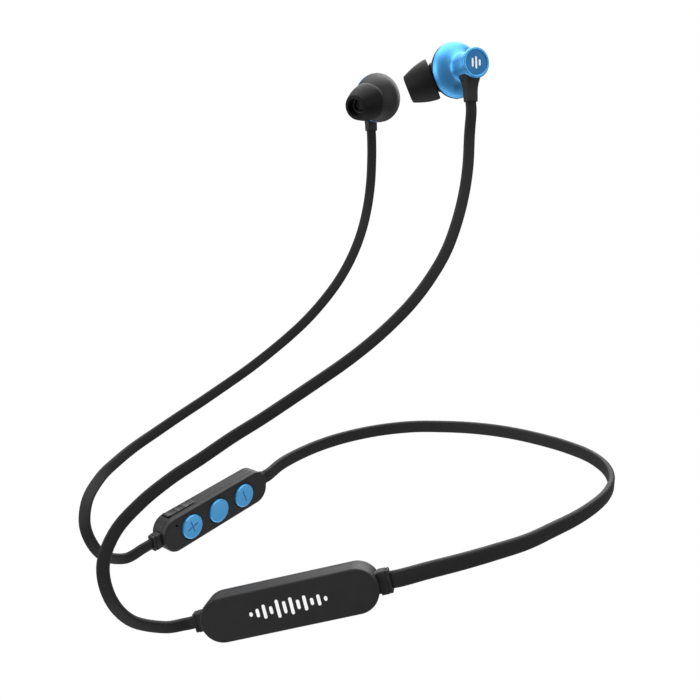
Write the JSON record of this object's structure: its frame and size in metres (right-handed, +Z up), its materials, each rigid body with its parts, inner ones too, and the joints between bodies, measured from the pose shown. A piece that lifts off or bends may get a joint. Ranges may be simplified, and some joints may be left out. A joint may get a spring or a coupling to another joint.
{
  "type": "wireless neckband earphones",
  "caption": "Wireless neckband earphones: two angled in-ear buds on flat cables, a battery pod and a remote pod with buttons.",
  "frame": {"origin": "centre of the neck opening that the neck cable and the two pods go round", "axes": "+Z up as worn, the wearer faces -X, the wearer's left side is -Y"},
  "size_m": [0.1562, 0.1259, 0.1491],
  "materials": {
    "soft_black": "soft-touch matt",
    "cable_black": "satin",
    "silicone_black": "satin",
    "anodised_blue": "anodised satin",
    "button_blue": "satin metallic paint",
    "board_green": "solder mask",
    "foil": "foil",
    "steel": "plated",
    "copper": "enamelled wire",
    "chip_black": "moulded",
    "foam_grey": "foam",
    "film_clear": "thin film"
  },
  "bodies": {
    "headset": {"battery_cell": "foil", "battery_ear_grommet": "soft_black", "battery_foam_pad": "foam_grey", "battery_front_shell": "soft_black", "battery_neck_grommet": "soft_black", "battery_protection_board": "board_green", "battery_rear_shell": "soft_black", "bluetooth_chip": "chip_black", "left_damping_disc": "foam_grey", "left_diaphragm": "film_clear", "left_driver_frame": "chip_black", "left_driver_magnet": "steel", "left_driver_yoke": "steel", "left_ear_cable": "cable_black", "left_end_cap": "anodised_blue", "left_front_cover": "soft_black", "left_housing": "anodised_blue", "left_nozzle_mesh": "steel", "left_strain_relief": "soft_black", "left_voice_coil": "copper", "microphone_capsule": "steel", "minus_switch": "steel", "neck_cable": "cable_black", "play_switch": "steel", "plus_switch": "steel", "remote_circuit_board": "board_green", "remote_ear_grommet": "soft_black", "remote_front_shell": "soft_black", "remote_neck_grommet": "soft_black", "remote_rear_shell": "soft_black", "right_damping_disc": "foam_grey", "right_diaphragm": "film_clear", "right_driver_frame": "chip_black", "right_driver_magnet": "steel", "right_driver_yoke": "steel", "right_ear_cable": "cable_black", "right_end_cap": "anodised_blue", "right_front_cover": "soft_black", "right_housing": "anodised_blue", "right_nozzle_mesh": "steel", "right_strain_relief": "soft_black", "right_voice_coil": "copper", "usb_socket_shell": "steel", "usb_socket_tongue": "chip_black"},
    "plus_key": {"plus_button": "button_blue", "plus_switch_plunger": "chip_black"},
    "play_key": {"play_button": "button_blue", "play_switch_plunger": "chip_black"},
    "minus_key": {"minus_button": "button_blue", "minus_switch_plunger": "chip_black"},
    "charging_door": {"usb_door": "soft_black"},
    "left_tip": {"left_ear_tip": "silicone_black"},
    "right_tip": {"right_ear_tip": "silicone_black"}
  },
  "joints": [
    {"name": "plus_press", "type": "slide", "parent": "headset", "child": "plus_key", "axis": [-0.766, 0.6428, 0], "range_m": [0, 0.0003], "stiffness_N_per_m": 3000},
    {"name": "play_press", "type": "slide", "parent": "headset", "child": "play_key", "axis": [-0.766, 0.6428, 0], "range_m": [0, 0.0003], "stiffness_N_per_m": 3000},
    {"name": "minus_press", "type": "slide", "parent": "headset", "child": "minus_key", "axis": [-0.766, 0.6428, 0], "range_m": [0, 0.0003], "stiffness_N_per_m": 3000},
    {"name": "usb_door_hinge", "type": "hinge", "parent": "headset", "child": "charging_door", "pos_m": [-0.07945, -0.00547, -0.00332], "axis": [-0.766, 0.6428, 0], "range_deg": [0, 110], "stiffness_Nm_per_rad": 0.0002},
    {"name": "left_tip_pull", "type": "slide", "parent": "headset", "child": "left_tip", "axis": [-0.9152, 0.0848, -0.394], "range_m": [0, 0.008]},
    {"name": "right_tip_pull", "type": "slide", "parent": "headset", "child": "right_tip", "axis": [-0.5672, -0.774, -0.2814], "range_m": [0, 0.008]}
  ]
}
